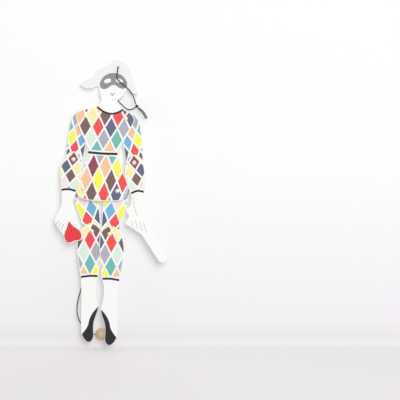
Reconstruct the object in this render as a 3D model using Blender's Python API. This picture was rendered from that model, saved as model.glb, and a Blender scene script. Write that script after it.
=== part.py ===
"""Wooden jumping jack: a flat puppet of riveted boards, worked by a pull cord with a bead on its end.

Sizes are in millimetres and become metres when a mesh is made. +X is the viewer's right, -Y the front and
+Z up. The origin is the middle of the hanging hole in the hat, half way through the body board.
"Left" and "right" are the viewer's. Limbs are drawn as left ones, hanging down from their upper pivot,
with the outer side at -X, and are mirrored for the right.
"""

import math

import bmesh
import bpy
from mathutils import Vector

MM = 0.001

# Boards and the gaps between them
BOARD = 2.5  # thickness of every board
FACE_GAP = 0.3  # play between neighbouring faces
OUTLINE_STEP = 3.0  # spacing of points along a sawn outline

# Body board, measured from the middle of the line between the hip rivets
HIP_SPAN = 43.0
SHOULDER_SPAN = 51.0
SHOULDER_RISE = 90.5
WAIST_WIDTH = 38.6
WAIST_RISE = 47.0
HOLE_SIDE = 11.5  # the hanging hole sits to the right of the body's middle line
HOLE_ABOVE_SHOULDERS = 63.0
HANGING_HOLE_RADIUS = 2.2
BODY_LEAN = 4.0  # degrees, the head leans to the right

# Limbs, from pivot to pivot
UPPER_ARM_LENGTH = 56.0
THIGH_LENGTH = 54.5
ELBOW_END_RADIUS = 10.6
FOREARM_END_RADIUS = 10.0
THIGH_TOP_RADIUS = 15.5
KNEE_END_RADIUS = 11.0
WRIST_DROP = 40.0  # elbow to cuff
ANKLE_DROP = 93.5  # knee to the top of the shoe

# Rest angles in degrees, positive when the limb's lower end points outwards
UPPER_ARM_REST = {"left": 14.1, "right": 11.1}
FOREARM_REST = {"left": 8.9, "right": 6.7}
THIGH_REST = {"left": -11.0, "right": -10.2}
LOWER_LEG_REST = {"left": 0.0, "right": -1.9}

# Rivets
SHANK_RADIUS = 1.5
HEAD_LIP = 0.85  # how far a head reaches past its shank
HEAD_HEIGHT = 1.0
HEAD_RIM = 0.4  # straight edge of a head below its dome
PIVOT_PLAY = 0.3  # radial play of a shank in its hole
CAP_PLAY = 0.1  # radial play of a cap on its shank
SPACER_WALL = 1.7
ROUND_SIDES = 20

# Cords and what is tied in them
CORD_DIAMETER = 1.4
CORD_PLAY = 0.35  # radial play of a cord in a drilled hole
CORD_STEP = 3.5  # spacing of points along a cord, two and a half diameters
ARM_TAIL = 10.0  # shoulder pivot to the tie hole
LEG_TAIL = 12.0  # hip pivot to the tie hole
TAIL_WALL = 2.2  # wood left round a tie hole
ARM_SWING = 80.0  # degrees that a pull of the cord lifts the arms
TIE_KNOT_THICKNESS = 1.4
TIE_KNOT_RADIUS = 1.8
LINK_KNOT_RADIUS = 1.9
LINK_SAG = 5.0  # how far the middle of a link hangs below its tie holes
LINK_BEND = 3.2  # how far behind a board a link bends over
LOOP_KNOT_RADIUS = 2.3
BEAD_RADIUS = 7.5
BEAD_ACROSS = 0.3  # the bead hangs this far right of the hips' middle
BEAD_LIFT = 5.0  # and this far above the level of the toes
BEAD_PLAY = 0.8  # radial play of the cord in the bead
BEAD_KNOT_RADIUS = 2.2

# Sizes that follow from those above
HOLE_RISE = SHOULDER_RISE + HOLE_ABOVE_SHOULDERS
TIE_HOLE_RADIUS = CORD_DIAMETER / 2 + CORD_PLAY
TIE_GAP = TIE_KNOT_THICKNESS + 2 * FACE_GAP
HEAD_ROOM = HEAD_HEIGHT + 2 * FACE_GAP
HEAD_RADIUS = SHANK_RADIUS + HEAD_LIP
PULL_TRAVEL = 2 * ARM_TAIL * math.sin(math.radians(ARM_SWING / 2))
LEG_SWING = 2 * math.degrees(math.asin(PULL_TRAVEL / (2 * LEG_TAIL)))

# Front faces of the boards, from front to back
BODY_FRONT = -BOARD / 2
FOREARM_FRONT = BODY_FRONT - HEAD_ROOM - BOARD
UPPER_ARM_FRONT = BODY_FRONT + BOARD + TIE_GAP
THIGH_FRONT = {"right": UPPER_ARM_FRONT}
LOWER_LEG_FRONT = {
    "right": THIGH_FRONT["right"] - FACE_GAP - BOARD,
    "left": THIGH_FRONT["right"] + BOARD + HEAD_ROOM,
}
THIGH_FRONT["left"] = LOWER_LEG_FRONT["left"] + BOARD + FACE_GAP

# Planes that the cords hang in
ARM_LINK_DEPTH = UPPER_ARM_FRONT + BOARD + LINK_BEND
PULL_DEPTH = THIGH_FRONT["left"] + BOARD + LINK_BEND
BEAD_DEPTH = LOWER_LEG_FRONT["left"] + BOARD + FACE_GAP + BEAD_RADIUS

SIDES = {"left": -1, "right": 1}

PAINT = "#f6f5f1"
RIVET_BRASS = "#e0c596"
CORD_BLACK = "#3b3739"
BEAD_WOOD = "#cdb08e"


def turned(point, degrees):
    """The point (x, z) turned about +Y."""
    c = math.cos(math.radians(degrees))
    s = math.sin(math.radians(degrees))
    return (point[0] * c + point[1] * s, -point[0] * s + point[1] * c)


def on_body(x, z):
    """World x and z of a point of the body board, measured from between the hips."""
    return turned((x - HOLE_SIDE, z - HOLE_RISE), BODY_LEAN)


def limb_point(pivot, side, rest, x, z):
    """World x and z of a point of a limb that is drawn as a left one."""
    turn = -SIDES[side] * rest
    dx, dz = turned((-SIDES[side] * x, z), turn)
    return (pivot[0] + dx, pivot[1] + dz)


def arc(centre, radius, start, end, points=6):
    """Points on an arc, in degrees from +X towards +Z."""
    steps = [math.radians(start + (end - start) * i / (points - 1)) for i in range(points)]
    return [(centre[0] + radius * math.cos(a), centre[1] + radius * math.sin(a)) for a in steps]


def through(points, step, closed=False):
    """Evenly stepped points on a smooth curve through the given ones; an open curve keeps both ends."""
    knots = [Vector(p) for p in points]
    count = len(knots)
    if closed:
        ring = [knots[-1], *knots, knots[0], knots[1]]
    else:
        ring = [2 * knots[0] - knots[1], *knots, 2 * knots[-1] - knots[-2]]
    result = []
    for i in range(1, count + 1 if closed else count):
        before, a, b, after = ring[i - 1 : i + 3]
        span = [max((q - p).length ** 0.5, 1e-6) for p, q in ((before, a), (a, b), (b, after))]
        leave = span[1] * ((a - before) / span[0] - (b - before) / (span[0] + span[1])) + (b - a)
        reach = span[1] * ((after - b) / span[2] - (after - a) / (span[1] + span[2])) + (b - a)
        pieces = max(1, round((b - a).length / step))
        for k in range(pieces):
            t = k / pieces
            result.append(
                (2 * t**3 - 3 * t**2 + 1) * a
                + (t**3 - 2 * t**2 + t) * leave
                + (3 * t**2 - 2 * t**3) * b
                + (t**3 - t**2) * reach
            )
    return result if closed else [*result, knots[-1]]


def sawn(*runs):
    """A closed outline of smooth runs; each run starts at the corner where the one before it ends."""
    return [p for run in runs for p in through(run, OUTLINE_STEP)[:-1]]


def shifted(points, x, z):
    return [(px + x, pz + z) for px, pz in points]


def finish(obj, colour, roughness):
    """Gives the object its own material, with the colour as an sRGB hex value."""
    channels = [int(colour[i : i + 2], 16) / 255 for i in (1, 3, 5)]
    linear = [c / 12.92 if c <= 0.04045 else ((c + 0.055) / 1.055) ** 2.4 for c in channels]
    material = bpy.data.materials.new(obj.name)
    material.use_nodes = True
    shader = material.node_tree.nodes["Principled BSDF"]
    shader.inputs["Base Color"].default_value = (*linear, 1.0)
    shader.inputs["Roughness"].default_value = roughness
    shader.inputs["Metallic"].default_value = 1.0 if colour == RIVET_BRASS else 0.0
    obj.data.materials.append(material)


def add_mesh(name, bm, colour, roughness, smooth_angle=None):
    """Turns a bmesh in millimetres into an object in metres."""
    bmesh.ops.recalc_face_normals(bm, faces=bm.faces)
    bmesh.ops.scale(bm, vec=(MM, MM, MM), verts=bm.verts)
    mesh = bpy.data.meshes.new(name)
    bm.to_mesh(mesh)
    bm.free()
    if smooth_angle:
        mesh.shade_smooth()
        mesh.set_sharp_from_angle(angle=math.radians(smooth_angle))
    obj = bpy.data.objects.new(name, mesh)
    bpy.context.scene.collection.objects.link(obj)
    finish(obj, colour, roughness)
    return obj


def put(obj, x, y, z, turn=0.0):
    obj.location = (x * MM, y * MM, z * MM)
    obj.rotation_euler = (0.0, math.radians(turn), 0.0)
    return obj


def board(name, outline, holes, mirrored=False):
    """A board with its front face at y = 0: an outline drawn as a left one, with holes (x, z, radius)."""
    flip = -1 if mirrored else 1
    bm = bmesh.new()
    loops = [outline]
    for x, z, radius in holes:
        loops.append(arc((x, z), radius, 0, 360, ROUND_SIDES + 1)[:-1])
    edges = []
    for loop in loops:
        corners = [bm.verts.new((flip * p[0], 0.0, p[1])) for p in loop]
        edges += [bm.edges.new((a, b)) for a, b in zip(corners, corners[1:] + corners[:1])]
    front = bmesh.ops.triangle_fill(bm, use_beauty=True, edges=edges)["geom"]
    faces = [f for f in front if isinstance(f, bmesh.types.BMFace)]
    back = bmesh.ops.extrude_face_region(bm, geom=faces, use_keep_orig=True)["geom"]
    moved = [v for v in back if isinstance(v, bmesh.types.BMVert)]
    bmesh.ops.translate(bm, vec=(0.0, BOARD, 0.0), verts=moved)
    return add_mesh(name, bm, PAINT, 0.45)


def round_piece(name, profile, colour, roughness, closed=False, sides=ROUND_SIDES):
    """Turns a profile of (radius, y) about the Y axis; a closed profile makes a ring."""
    bm = bmesh.new()
    corners = [bm.verts.new((r, y, 0.0)) for r, y in profile]
    ends = corners[1:] + corners[:1] if closed else corners[1:]
    edges = [bm.edges.new(pair) for pair in zip(corners, ends)]
    bmesh.ops.spin(
        bm,
        geom=corners + edges,
        axis=(0.0, 1.0, 0.0),
        cent=(0.0, 0.0, 0.0),
        steps=sides,
        angle=2 * math.pi,
        use_merge=True,
    )
    bmesh.ops.remove_doubles(bm, verts=bm.verts, dist=1e-4)
    return add_mesh(name, bm, colour, roughness, smooth_angle=40)


def rivet(name, pivot, front, back):
    """A rivet and its press-on cap, holding boards between the depths front and back."""
    under = front - FACE_GAP
    end = back + FACE_GAP + HEAD_HEIGHT
    dome = [
        (HEAD_RADIUS * math.cos(a), under - HEAD_RIM - (HEAD_HEIGHT - HEAD_RIM) * math.sin(a))
        for a in (0.0, math.radians(35), math.radians(65))
    ]
    pin = [(0.0, under - HEAD_HEIGHT), *reversed(dome), (HEAD_RADIUS, under)]
    pin += [(SHANK_RADIUS, under), (SHANK_RADIUS, end), (0.0, end)]
    put(round_piece(f"{name}_rivet", pin, RIVET_BRASS, 0.3), pivot[0], 0.0, pivot[1])
    bore = SHANK_RADIUS + CAP_PLAY
    rim = back + FACE_GAP
    cap = [(bore, rim), (HEAD_RADIUS, rim), (HEAD_RADIUS, rim + HEAD_RIM)]
    cap += [((bore + HEAD_RADIUS) / 2, end), (bore, end)]
    put(round_piece(f"{name}_rivet_cap", cap, RIVET_BRASS, 0.3, closed=True), pivot[0], 0.0, pivot[1])


def spacer(name, pivot, front, back):
    """A bush that keeps two boards apart on their rivet."""
    bore = SHANK_RADIUS + PIVOT_PLAY
    outer = bore + SPACER_WALL
    near, far = front + FACE_GAP, back - FACE_GAP
    ring = [(bore, near), (outer, near), (outer, far), (bore, far)]
    put(round_piece(name, ring, RIVET_BRASS, 0.4, closed=True), pivot[0], 0.0, pivot[1])


def knot(name, x, y, z, radius, thickness=None):
    """A round knot, flattened front to back where a thickness is given."""
    bm = bmesh.new()
    bmesh.ops.create_uvsphere(bm, u_segments=12, v_segments=8, radius=radius)
    if thickness:
        bmesh.ops.scale(bm, vec=(1.0, thickness / 2 / radius, 1.0), verts=bm.verts)
    return put(add_mesh(name, bm, CORD_BLACK, 0.8, smooth_angle=60), x, y, z)


def cord(name, route):
    """A round cord on a smooth curve through the route's points."""
    points = through(route, CORD_STEP)
    curve = bpy.data.curves.new(name, "CURVE")
    curve.dimensions = "3D"
    spline = curve.splines.new("POLY")
    spline.points.add(len(points) - 1)
    for slot, point in zip(spline.points, points):
        slot.co = (*(point * MM), 1.0)
    curve.bevel_depth = CORD_DIAMETER / 2 * MM
    curve.bevel_resolution = 2
    curve.use_fill_caps = True
    obj = bpy.data.objects.new(name, curve)
    bpy.context.scene.collection.objects.link(obj)
    finish(obj, CORD_BLACK, 0.8)
    return obj


def body_outline():
    """Hat, head, neck and belted tunic in one board."""
    hat_top = [(-45.7, -25.1), (-40.9, -17.8), (-31.3, -12.8), (-26.3, -4.6), (-20.7, -1.5), (-12.6, 3.4)]
    hat_top += [(-7.4, 8.7), (-0.2, 11.1), (4.0, 8.1), (12.0, 4.4), (16.6, -0.2), (18.5, -8.6)]
    hat_top += [(22.0, -16.2), (26.2, -27.1), (27.2, -31.4)]
    right_brim = [(27.2, -31.4), (20.9, -31.0), (12.8, -25.3)]
    right_cheek = [(12.8, -25.3), (10.0, -33.0), (1.9, -41.0)]
    right_neck = [(1.9, -41.0), (4.2, -46.5), (9.5, -50.9), (14.5, -53.0)]
    left_neck = [(-32.0, -53.3), (-23.2, -48.9), (-19.2, -45.2), (-18.1, -40.1)]
    left_neck += [(-20.7, -33.2), (-22.1, -24.5)]
    left_brim = [(-22.1, -24.5), (-24.8, -25.1), (-31.0, -28.3), (-38.8, -28.3), (-45.7, -25.1)]
    head = [shifted(run, HOLE_SIDE, HOLE_RISE) for run in (hat_top, right_brim, right_cheek)]
    right_neck = shifted(right_neck, HOLE_SIDE, HOLE_RISE)
    left_neck = shifted(left_neck, HOLE_SIDE, HOLE_RISE)
    shoulder = [(6.5, 6.5), (11.0, -0.2), (5.0, -17.9)]
    ribs = [(3.1, 10.8), (0.0, 0.0)]
    right_hip = [(3.9, 26.6), (11.1, 12.1), (13.2, 4.8), (10.9, -2.9), (5.2, -11.2), (-2.0, -12.8)]
    left_hip = [(3.1, -13.3), (-4.4, -10.3), (-7.8, -4.5), (-7.0, 2.9), (-3.8, 14.8), (0.1, 29.6)]
    right = shifted(shoulder, SHOULDER_SPAN / 2, SHOULDER_RISE) + shifted(ribs, WAIST_WIDTH / 2, WAIST_RISE)
    left = [(-x, z) for x, z in reversed(right)]
    tunic = right_neck + right + shifted(right_hip, HIP_SPAN / 2, 0.0)
    tunic += shifted(left_hip, -HIP_SPAN / 2, 0.0) + left + left_neck
    return sawn(*head, tunic, shifted(left_brim, HOLE_SIDE, HOLE_RISE))


def arm_tie():
    """The tie hole of an upper arm: as far above the level at rest as it is below it after the swing."""
    rest = sum(UPPER_ARM_REST.values()) / 2
    angle = math.radians(ARM_SWING / 2 + rest)
    return (ARM_TAIL * math.cos(angle), ARM_TAIL * math.sin(angle))


def leg_tie():
    """The tie hole of a thigh, likewise."""
    rest = sum(THIGH_REST.values()) / 2
    angle = math.radians(LEG_SWING / 2 + rest)
    return (LEG_TAIL * math.cos(angle), LEG_TAIL * math.sin(angle))


def upper_arm_outline():
    """A puffed shoulder that tapers to a round elbow, with a tail on the inner side for the tie."""
    elbow = (0.0, -UPPER_ARM_LENGTH)
    tail = arc(arm_tie(), TIE_HOLE_RADIUS + TAIL_WALL, -50, 100, 5)
    outline = [*tail, (-2.5, 11.5), (-10.5, 7.0), (-15.6, -3.0), (-16.2, -12.0), (-15.2, -25.0)]
    outline += arc(elbow, ELBOW_END_RADIUS, 195, 345, 7)
    outline += [(10.0, elbow[1] + 18.0), (9.5, -18.0)]
    return through(outline, OUTLINE_STEP, closed=True)


def sleeve(outer, inner):
    """The top of a forearm: from the cuff's inner corner over the elbow to its outer corner."""
    return [*inner, *arc((0.0, 0.0), FOREARM_END_RADIUS, 25, 155, 5), *outer]


def left_forearm_outline():
    """Sleeve, bare wrist and an open hand that holds a pouch."""
    top = sleeve([(-14.3, -13.2), (-12.4, -26.0), (-9.2, -WRIST_DROP)], [(9.6, -WRIST_DROP), (12.9, -13.9)])
    hand = [(-9.2, 0.0), (-6.4, -17.3), (-8.9, -27.8), (-11.9, -37.1), (-9.6, -43.0), (-2.3, -50.6)]
    hand += [(2.2, -54.6)]
    pouch = [(2.2, -54.6), (5.2, -60.5), (11.3, -63.8), (17.6, -60.2), (24.2, -57.9), (25.9, -52.0)]
    pouch += [(21.8, -43.6)]
    thumb = [(21.8, -43.6), (16.4, -32.7), (11.6, -22.1), (7.4, -11.4), (9.6, 0.0)]
    return sawn(top, *(shifted(run, 0.0, -WRIST_DROP) for run in (hand, pouch, thumb)))


def right_forearm_outline():
    """Sleeve and a fist on a flat bat, drawn as a left arm: the bat points outwards."""
    outer = [(-11.6, -5.1), (-11.6, -16.4), (-9.5, -28.7), (-8.2, -WRIST_DROP)]
    top = sleeve(outer, [(8.7, -WRIST_DROP), (13.4, -16.0)])
    wrist = [(-8.2, 0.0), (-9.9, -13.6), (-11.4, -32.0), (-11.4, -43.5)]
    blade_upper = [(-11.4, -43.5), (-15.0, -51.0), (-28.0, -77.0)]
    tip = [(-28.0, -77.0), (-28.6, -80.6), (-25.6, -85.6), (-20.1, -87.8), (-15.4, -84.0)]
    blade_lower = [(-15.4, -84.0), (1.4, -49.7)]
    knuckles = [(1.4, -49.7), (7.5, -44.5), (14.0, -39.0), (20.7, -34.0)]
    notch = [(20.7, -34.0), (16.6, -28.0), (14.1, -24.8)]
    handle_side = [(14.1, -24.8), (17.1, -18.2)]
    handle_end = [(17.1, -18.2), (15.6, -14.6), (11.5, -13.2)]
    cuff_side = [(11.5, -13.2), (9.6, -6.0), (8.7, 0.0)]
    hand = (wrist, blade_upper, tip, blade_lower, knuckles, notch, handle_side, handle_end, cuff_side)
    return sawn(top, *(shifted(run, 0.0, -WRIST_DROP) for run in hand))


def thigh_outline():
    """A full upper leg, widest at the hip, with a round knee."""
    knee = (0.0, -THIGH_LENGTH)
    outline = arc((0.0, 0.0), THIGH_TOP_RADIUS, -20, 200, 9)
    outline += [(-14.6, -13.7), (-12.7, -26.7), (-10.9, knee[1] + 12.0)]
    outline += arc(knee, KNEE_END_RADIUS, 195, 345, 7)
    outline += [(13.5, knee[1] + 17.0), (15.0, -19.0)]
    return through(outline, OUTLINE_STEP, closed=True)


def lower_leg_outline():
    """Calf, slim ankle and a low shoe on its toe, with a heel point on the inner side."""
    knee = [(8.1, -55.8), (10.2, -37.1), (12.8, -12.0), (10.4, 3.2), (0.0, 10.4), (-10.6, 6.0)]
    knee += [(-15.5, -3.0), (-18.3, -12.5), (-18.7, -20.0), (-17.2, -37.1), (-14.3, -55.8)]
    shin = [(-13.4, 21.5), (-13.3, 3.0), (-13.7, -15.8), (-13.2, -34.4)]
    toe = [(-13.2, -34.4), (-9.0, -42.0), (-4.1, -45.2), (-0.6, -43.6), (1.6, -39.8), (2.3, -35.5)]
    toe += [(2.1, -30.0), (2.2, -24.0), (2.7, -20.0), (4.2, -14.5), (6.1, -9.2), (7.8, -4.0), (8.6, 0.0)]
    heel = [(8.6, 0.0), (6.3, 8.0), (5.0, 17.8), (5.7, 30.3)]
    outer = knee + shifted(shin, 0.0, -ANKLE_DROP)
    inner = shifted(heel, 0.0, -ANKLE_DROP) + [knee[0]]
    return sawn(outer, shifted(toe, 0.0, -ANKLE_DROP), inner)


def tie(name, at, front):
    """The knot on a link's end, between a board's front face and the board before it."""
    knot(name, at[0], front - TIE_GAP / 2, at[1], TIE_KNOT_RADIUS, TIE_KNOT_THICKNESS)


def link(name, at, front, middle, depth):
    """A link cord: from the tie knot back through its hole, then over to the knot in the middle."""
    inward = math.copysign(1.0, middle[0] - at[0])
    stop = middle[0] - inward * (LINK_KNOT_RADIUS + FACE_GAP)
    back = front + BOARD
    route = [(at[0], front, at[1]), (at[0], (front + back) / 2, at[1]), (at[0], back + FACE_GAP, at[1])]
    for along, rise, reach in ((0.12, 0.95, 0.45), (0.35, 0.75, 0.8), (0.65, 0.4, 0.97), (1.0, 0.0, 1.0)):
        x = at[0] + (stop - at[0]) * along
        route.append((x, back + (depth - back) * reach, middle[1] + (at[1] - middle[1]) * rise))
    cord(name, route)


def build_body():
    """The body board with its pivot holes and the hanging hole."""
    holes = [(HOLE_SIDE, HOLE_RISE, HANGING_HOLE_RADIUS)]
    for side in SIDES.values():
        holes.append((side * SHOULDER_SPAN / 2, SHOULDER_RISE, SHANK_RADIUS + PIVOT_PLAY))
        holes.append((side * HIP_SPAN / 2, 0.0, SHANK_RADIUS + PIVOT_PLAY))
    x, z = on_body(0.0, 0.0)
    put(board("body_board", body_outline(), holes), x, BODY_FRONT, z, BODY_LEAN)


def build_arm(side):
    """Upper arm and forearm with their rivets and spacers; returns the tie hole's place."""
    sign = SIDES[side]
    right = side == "right"
    shoulder = on_body(sign * SHOULDER_SPAN / 2, SHOULDER_RISE)
    rest = UPPER_ARM_REST[side]
    elbow = limb_point(shoulder, side, rest, 0.0, -UPPER_ARM_LENGTH)
    pivot = (0.0, 0.0, SHANK_RADIUS + PIVOT_PLAY)
    holes = [pivot, (0.0, -UPPER_ARM_LENGTH, pivot[2]), (*arm_tie(), TIE_HOLE_RADIUS)]
    upper = board(f"{side}_upper_arm", upper_arm_outline(), holes, mirrored=right)
    put(upper, shoulder[0], UPPER_ARM_FRONT, shoulder[1], -sign * rest)
    outline = right_forearm_outline() if right else left_forearm_outline()
    forearm = board(f"{side}_forearm", outline, [pivot], mirrored=right)
    put(forearm, elbow[0], FOREARM_FRONT, elbow[1], -sign * FOREARM_REST[side])
    back = UPPER_ARM_FRONT + BOARD
    rivet(f"{side}_shoulder", shoulder, BODY_FRONT, back)
    rivet(f"{side}_elbow", elbow, FOREARM_FRONT, back)
    spacer(f"{side}_shoulder_washer", shoulder, BODY_FRONT + BOARD, UPPER_ARM_FRONT)
    spacer(f"{side}_elbow_spacer", elbow, FOREARM_FRONT + BOARD, UPPER_ARM_FRONT)
    return limb_point(shoulder, side, rest, *arm_tie())


def build_leg(side):
    """Thigh and lower leg with their rivets and spacer; returns the tie hole's place."""
    sign = SIDES[side]
    right = side == "right"
    hip = on_body(sign * HIP_SPAN / 2, 0.0)
    rest = THIGH_REST[side]
    knee = limb_point(hip, side, rest, 0.0, -THIGH_LENGTH)
    pivot = (0.0, 0.0, SHANK_RADIUS + PIVOT_PLAY)
    holes = [pivot, (0.0, -THIGH_LENGTH, pivot[2]), (*leg_tie(), TIE_HOLE_RADIUS)]
    front = THIGH_FRONT[side]
    thigh = board(f"{side}_thigh", thigh_outline(), holes, mirrored=right)
    put(thigh, hip[0], front, hip[1], -sign * rest)
    lower = board(f"{side}_lower_leg", lower_leg_outline(), [pivot], mirrored=right)
    put(lower, knee[0], LOWER_LEG_FRONT[side], knee[1], -sign * LOWER_LEG_REST[side])
    rivet(f"{side}_hip", hip, BODY_FRONT, front + BOARD)
    rivet(f"{side}_knee", knee, LOWER_LEG_FRONT[side], front + BOARD)
    spacer(f"{side}_hip_spacer", hip, BODY_FRONT + BOARD, front)
    return limb_point(hip, side, rest, *leg_tie())


def floor_level():
    """World z of the surface that the toes stand on."""
    lowest = []
    for side, sign in SIDES.items():
        hip = on_body(sign * HIP_SPAN / 2, 0.0)
        knee = limb_point(hip, side, THIGH_REST[side], 0.0, -THIGH_LENGTH)
        lowest += [limb_point(knee, side, LOWER_LEG_REST[side], *p)[1] for p in lower_leg_outline()]
    return min(lowest)


def build_links(arm_ties, leg_ties):
    """The cords behind the body that tie the limbs together in pairs, with the cord between the pairs."""
    middles = []
    for limb, ties, fronts, depth in (
        ("arm", arm_ties, {side: UPPER_ARM_FRONT for side in SIDES}, ARM_LINK_DEPTH),
        ("leg", leg_ties, THIGH_FRONT, PULL_DEPTH),
    ):
        across = sum(at[0] for at in ties.values()) / 2
        middle = (across, sum(at[1] for at in ties.values()) / 2 - LINK_SAG)
        for side, at in ties.items():
            tie(f"{side}_{limb}_tie_knot", at, fronts[side])
            link(f"{side}_{limb}_link", at, fronts[side], middle, depth)
        knot(f"{limb}_link_knot", middle[0], depth, middle[1], LINK_KNOT_RADIUS)
        middles.append(Vector((middle[0], depth, middle[1])))
    top, bottom = middles
    gap = (bottom - top).normalized() * (LINK_KNOT_RADIUS + FACE_GAP)
    cord("upper_pull_cord", [top + gap, (top + bottom) / 2, bottom - gap])
    return bottom


def build_pull(leg_middle):
    """The slack pull cord, which bows out behind the left leg, and the bead that it runs through."""
    hips = on_body(0.0, 0.0)
    bead = (hips[0] + BEAD_ACROSS, BEAD_DEPTH, floor_level() + BEAD_LIFT + BEAD_RADIUS)
    bore = CORD_DIAMETER / 2 + BEAD_PLAY
    tilt = math.asin(bore / BEAD_RADIUS)
    ball = [tilt + (math.pi - 2 * tilt) * i / 10 for i in range(11)]
    profile = [(BEAD_RADIUS * math.sin(a), -BEAD_RADIUS * math.cos(a)) for a in ball]
    obj = put(round_piece("pull_bead", profile, BEAD_WOOD, 0.5, closed=True), *bead)
    obj.rotation_euler = (0.0, 0.0, math.radians(90))
    end = BEAD_RADIUS + FACE_GAP
    knot("pull_bead_knot", bead[0] + end + BEAD_KNOT_RADIUS, bead[1], bead[2], BEAD_KNOT_RADIUS)
    start = LINK_KNOT_RADIUS + FACE_GAP
    drop = [(-26.8, -165.5), (-30.2, -178.0), (-33.4, -200.0), (-35.8, -221.0), (-39.0, -242.0)]
    drop += [(-43.4, -262.0), (-48.0, -278.5), (-51.3, -291.5), (-52.6, -302.0), (-51.4, -312.0)]
    drop += [(-47.6, -320.2), (-42.4, -326.2)]
    route = [(leg_middle[0], PULL_DEPTH, leg_middle[2] - start), *((x, PULL_DEPTH, z) for x, z in drop)]
    route += [(-36.8, (PULL_DEPTH + bead[1]) / 2, -330.6), (bead[0] - end - 1.5, bead[1], bead[2])]
    route += [bead, (bead[0] + end, bead[1], bead[2])]
    cord("pull_cord", route)


def build_hanging_loop():
    """The slack loop through the hole in the hat: a strand each side of the head, a knot, two loose ends."""
    near = BODY_FRONT - FACE_GAP - CORD_DIAMETER / 2  # a strand that lies on the face
    far = -near  # a strand that lies behind the head
    loop_knot = (23.4, near, -48.4)
    knot("hanging_knot", *loop_knot, LOOP_KNOT_RADIUS)
    front = [(0.0, -FACE_GAP / 2, 0.0), (0.0, BODY_FRONT, 0.0), (-0.1, near - 1.2, -1.2)]
    front += [(-0.4, near - 1.6, -4.2), (-1.1, near - 1.1, -10.4), (-0.9, near - 0.8, -14.0)]
    front += [(1.4, near - 0.5, -17.0), (5.0, near, -20.4), (9.7, near, -24.2), (15.9, near, -30.8)]
    front += [(18.7, near, -35.5), (20.5, near, -40.5), (22.2, near, -45.8)]
    cord("hanging_strand_front", front)
    rear = [(0.0, FACE_GAP / 2, 0.0), (0.0, -BODY_FRONT, 0.0), (0.0, far + 1.2, -1.2)]
    rear += [(0.0, far + 1.6, -4.2), (0.0, far + 0.8, -12.0), (-0.4, far, -24.0), (-0.8, far, -36.0)]
    rear += [(0.4, far, -41.6), (4.6, far - 0.8, -46.2), (9.3, 0.2, -50.7), (14.9, near + 1.0, -52.6)]
    rear += [(19.4, near, -51.2), (21.3, near, -49.9)]
    cord("hanging_strand_rear", rear)
    along = Vector((0.62, 0.0, -0.78))
    beside = Vector((0.78, 0.0, 0.62)) * (CORD_DIAMETER + FACE_GAP) / 2
    bow = Vector((1.0, 0.0, 0.8))
    for name, offset, length in (("upper", beside, 17.5), ("lower", -beside, 16.5)):
        root = Vector(loop_knot) + offset + along * (LOOP_KNOT_RADIUS + FACE_GAP)
        cord(f"hanging_{name}_end", [root, root + along * length * 0.5 + bow, root + along * length])


def main():
    for obj in list(bpy.data.objects):
        bpy.data.objects.remove(obj, do_unlink=True)
    build_body()
    arm_ties = {side: build_arm(side) for side in SIDES}
    leg_ties = {side: build_leg(side) for side in SIDES}
    build_pull(build_links(arm_ties, leg_ties))
    build_hanging_loop()


main()
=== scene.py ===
"""Looks of a flat wooden jumping jack: printed boards, brass rivets, braided cord and a bead."""

import math

import bmesh
import bpy
from bpy.props import FloatProperty, FloatVectorProperty, IntProperty
from bpy.props import PointerProperty, StringProperty
from mathutils import Matrix, Vector


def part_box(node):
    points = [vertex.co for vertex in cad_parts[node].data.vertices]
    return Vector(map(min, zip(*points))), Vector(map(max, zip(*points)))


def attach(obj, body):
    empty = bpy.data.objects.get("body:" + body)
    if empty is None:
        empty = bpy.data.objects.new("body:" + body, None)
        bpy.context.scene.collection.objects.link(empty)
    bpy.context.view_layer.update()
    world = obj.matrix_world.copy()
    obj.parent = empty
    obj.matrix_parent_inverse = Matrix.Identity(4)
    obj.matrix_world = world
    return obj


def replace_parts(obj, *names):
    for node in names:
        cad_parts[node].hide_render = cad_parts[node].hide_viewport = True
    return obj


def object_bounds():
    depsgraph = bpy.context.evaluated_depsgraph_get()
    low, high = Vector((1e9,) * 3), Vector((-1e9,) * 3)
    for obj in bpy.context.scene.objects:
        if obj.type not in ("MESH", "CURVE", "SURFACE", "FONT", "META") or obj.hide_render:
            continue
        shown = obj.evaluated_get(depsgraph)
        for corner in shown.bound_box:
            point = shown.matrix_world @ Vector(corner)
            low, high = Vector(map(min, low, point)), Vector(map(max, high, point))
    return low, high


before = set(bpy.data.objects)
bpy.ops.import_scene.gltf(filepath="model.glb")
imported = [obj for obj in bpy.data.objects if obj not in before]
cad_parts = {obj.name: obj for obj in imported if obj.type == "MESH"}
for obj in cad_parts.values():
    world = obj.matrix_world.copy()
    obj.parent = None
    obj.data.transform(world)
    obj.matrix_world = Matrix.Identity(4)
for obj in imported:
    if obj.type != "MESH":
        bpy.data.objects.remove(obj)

bl_info = {
    "name": "Jumping jack dressing",
    "version": (1, 0, 0),
    "blender": (4, 5, 0),
    "location": "View3D > Sidebar > Puppet",
    "description": "Prints, rivets, cords and stage for a jointed wooden puppet",
    "category": "Object",
}

CAD_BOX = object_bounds()
MM = 0.001
MERGE = 1e-6  # points nearer to each other than this are one, in metres
SHARP = math.radians(35)  # edges between faces that turn by more than this stay sharp
TOE_CLEARANCE = 8.5 * MM  # so much that the bead clears the floor too when the cord is pulled
FLOOR = CAD_BOX[0].z - TOE_CLEARANCE

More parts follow.
